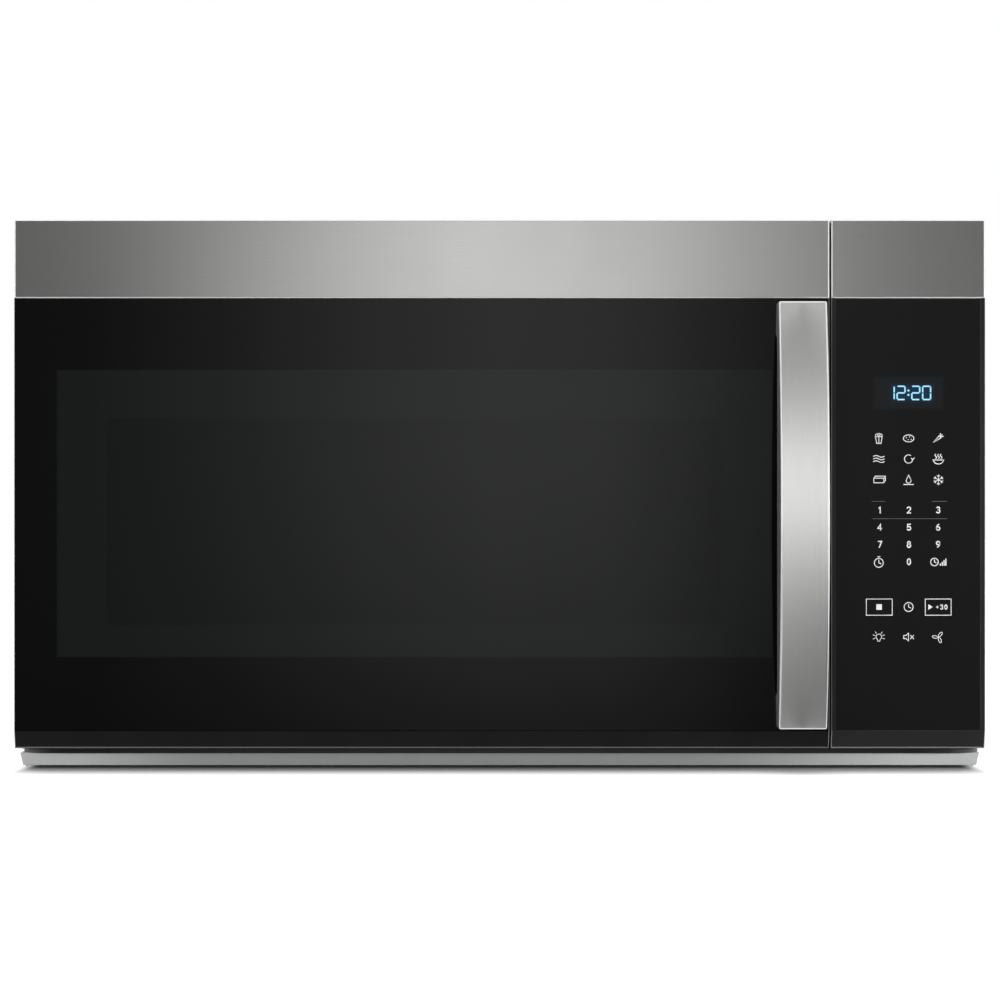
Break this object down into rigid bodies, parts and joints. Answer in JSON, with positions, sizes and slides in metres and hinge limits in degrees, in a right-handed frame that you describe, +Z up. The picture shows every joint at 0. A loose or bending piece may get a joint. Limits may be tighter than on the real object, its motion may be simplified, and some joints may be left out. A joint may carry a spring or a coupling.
{
  "type": "over the range microwave",
  "caption": "Over-the-range microwave oven with a side-hinged black glass door, steel trims, bowed steel handle, touch panel, turntable and vent blower.",
  "frame": {"origin": "on the wall plane, at the centre of the rear panel's back face, half way up to the top of the door", "axes": "+X to the right seen from the front, +Y back towards the wall, +Z up"},
  "size_m": [0.76, 0.436, 0.432],
  "materials": {
    "painted_shell": "black enamel paint, fine orange peel",
    "galvanised_sheet": "zinc-coated sheet with faint spangle",
    "underside_paint": "light grey paint on steel",
    "dark_rail": "dark grey moulding",
    "frame_enamel": "light grey enamel",
    "black_plastic": "black moulding, satin",
    "carbon_block": "black open-cell block",
    "oven_enamel": "light grey oven enamel with fine speckle",
    "mica": "mica sheet",
    "magnetron_metal": "plain aluminium fins in a plated yoke",
    "core_steel": "varnished laminations",
    "can_aluminium": "drawn aluminium can",
    "board_green": "green board",
    "white_plastic": "off-white heat-resistant moulding",
    "clear_glass": "clear pressed glass",
    "lamp_glass": "clear bulb glass",
    "lens_glass": "ribbed clear lens",
    "filter_aluminium": "layered aluminium mesh in a folded frame",
    "brushed_steel": "stainless steel, brushed along its length",
    "handle_steel": "stainless steel, brushed upright",
    "black_glass": "black tinted glass with a printed border round a dark window",
    "door_enamel": "dark grey enamel",
    "screen_black": "black perforated sheet",
    "inner_pane": "clear inner pane",
    "choke_plastic": "black ring, fine texture",
    "zinc_steel": "zinc-plated steel",
    "touch_glass": "black glass with printed white keys",
    "display_black": "dark display face"
  },
  "bodies": {
    "cabinet": {"cabinet_wrap": "painted_shell", "rear_panel": "galvanised_sheet", "base_plate": "underside_paint", "plenum_panel": "galvanised_sheet", "reveal_rail": "dark_rail", "front_frame": "frame_enamel", "vent_grille": "black_plastic", "charcoal_filter": "carbon_block", "oven_cavity": "oven_enamel", "waveguide_cover": "mica", "waveguide": "galvanised_sheet", "magnetron": "magnetron_metal", "high_voltage_transformer": "core_steel", "high_voltage_capacitor": "can_aluminium", "high_voltage_diode": "black_plastic", "noise_filter_board": "board_green", "cooling_fan_shroud": "galvanised_sheet", "cooling_fan_motor": "core_steel", "blower_housing": "galvanised_sheet", "blower_motor": "core_steel", "turntable_motor": "galvanised_sheet", "cavity_lamp": "lamp_glass", "cooktop_lamp": "lamp_glass", "cooktop_lamp_lens": "lens_glass", "cord_grommet": "black_plastic", "latch_body": "white_plastic", "interlock_switches": "black_plastic", "hinge_bracket_upper": "zinc_steel", "hinge_bracket_lower": "zinc_steel", "hinge_pins": "zinc_steel", "control_panel_frame": "black_plastic", "control_panel_trim": "brushed_steel", "control_panel_glass": "touch_glass", "display_module": "display_black", "control_board": "board_green", "cabinet_screws": "zinc_steel"},
    "door": {"door_frame": "black_plastic", "door_trim": "brushed_steel", "door_glass": "black_glass", "door_inner_panel": "door_enamel", "window_screen": "screen_black", "door_inner_glass": "inner_pane", "choke_cover": "choke_plastic", "door_handle": "handle_steel", "handle_screws": "zinc_steel", "latch_spring": "zinc_steel"},
    "latch": {"latch_head": "white_plastic"},
    "turntable": {"turntable_tray": "clear_glass", "turntable_coupler": "white_plastic"},
    "roller_carrier": {"roller_ring": "white_plastic"},
    "roller_wheel_1": {"roller_1": "white_plastic"},
    "roller_wheel_2": {"roller_2": "white_plastic"},
    "roller_wheel_3": {"roller_3": "white_plastic"},
    "vent_rotor": {"blower_wheels": "galvanised_sheet"},
    "fan_rotor": {"cooling_fan": "white_plastic"},
    "filter_left": {"grease_filter_left": "filter_aluminium"},
    "filter_right": {"grease_filter_right": "filter_aluminium"},
    "primary_switch_button": {"primary_plunger": "white_plastic"},
    "secondary_switch_button": {"secondary_plunger": "white_plastic"},
    "monitor_switch_button": {"monitor_plunger": "white_plastic"}
  },
  "joints": [
    {"name": "door_hinge", "type": "hinge", "parent": "cabinet", "child": "door", "pos_m": [-0.371, -0.368, -0.198], "axis": [0, 0, -1], "range_deg": [0, 110]},
    {"name": "door_latch", "type": "slide", "parent": "door", "child": "latch", "axis": [0, 0, 1], "range_m": [0, 0.004], "stiffness_N_per_m": 60, "springref_m": -0.002, "deforming": ["latch_spring"]},
    {"name": "turntable_spin", "type": "hinge", "parent": "cabinet", "child": "turntable", "pos_m": [-0.061, -0.181, -0.1374], "axis": [0, 0, 1], "continuous": true},
    {"name": "roller_ring_spin", "type": "hinge", "parent": "cabinet", "child": "roller_carrier", "pos_m": [-0.061, -0.181, -0.1457], "axis": [0, 0, 1], "continuous": true},
    {"name": "roller_1_spin", "type": "hinge", "parent": "roller_carrier", "child": "roller_wheel_1", "pos_m": [-0.061, -0.0885, -0.1457], "axis": [0, 1, 0], "continuous": true},
    {"name": "roller_2_spin", "type": "hinge", "parent": "roller_carrier", "child": "roller_wheel_2", "pos_m": [-0.14111, -0.22725, -0.1457], "axis": [-0.866, -0.5, 0], "continuous": true},
    {"name": "roller_3_spin", "type": "hinge", "parent": "roller_carrier", "child": "roller_wheel_3", "pos_m": [0.01911, -0.22725, -0.1457], "axis": [0.866, -0.5, 0], "continuous": true},
    {"name": "vent_blower_spin", "type": "hinge", "parent": "cabinet", "child": "vent_rotor", "pos_m": [0, -0.07035, 0.16115], "axis": [1, 0, 0], "continuous": true},
    {"name": "cooling_fan_spin", "type": "hinge", "parent": "cabinet", "child": "fan_rotor", "pos_m": [0.2973, -0.042, -0.076], "axis": [0, -1, 0], "continuous": true},
    {"name": "filter_left_slide", "type": "slide", "parent": "cabinet", "child": "filter_left", "axis": [0, 1, 0], "range_m": [0, 0.008]},
    {"name": "filter_right_slide", "type": "slide", "parent": "cabinet", "child": "filter_right", "axis": [0, 1, 0], "range_m": [0, 0.008]},
    {"name": "primary_switch_press", "type": "slide", "parent": "cabinet", "child": "primary_switch_button", "axis": [0, 1, 0], "range_m": [0, 0.0015], "stiffness_N_per_m": 400},
    {"name": "secondary_switch_press", "type": "slide", "parent": "cabinet", "child": "secondary_switch_button", "axis": [0, 1, 0], "range_m": [0, 0.0015], "stiffness_N_per_m": 400},
    {"name": "monitor_switch_press", "type": "slide", "parent": "cabinet", "child": "monitor_switch_button", "axis": [-1, 0, 0], "range_m": [0, 0.0015], "stiffness_N_per_m": 400}
  ],
  "couplings": [
    {"joint": "roller_ring_spin", "follows": "turntable_spin", "ratio": 0.5},
    {"joint": "roller_1_spin", "follows": "turntable_spin", "ratio": -5.7812},
    {"joint": "roller_2_spin", "follows": "turntable_spin", "ratio": -5.7812},
    {"joint": "roller_3_spin", "follows": "turntable_spin", "ratio": -5.7812}
  ]
}
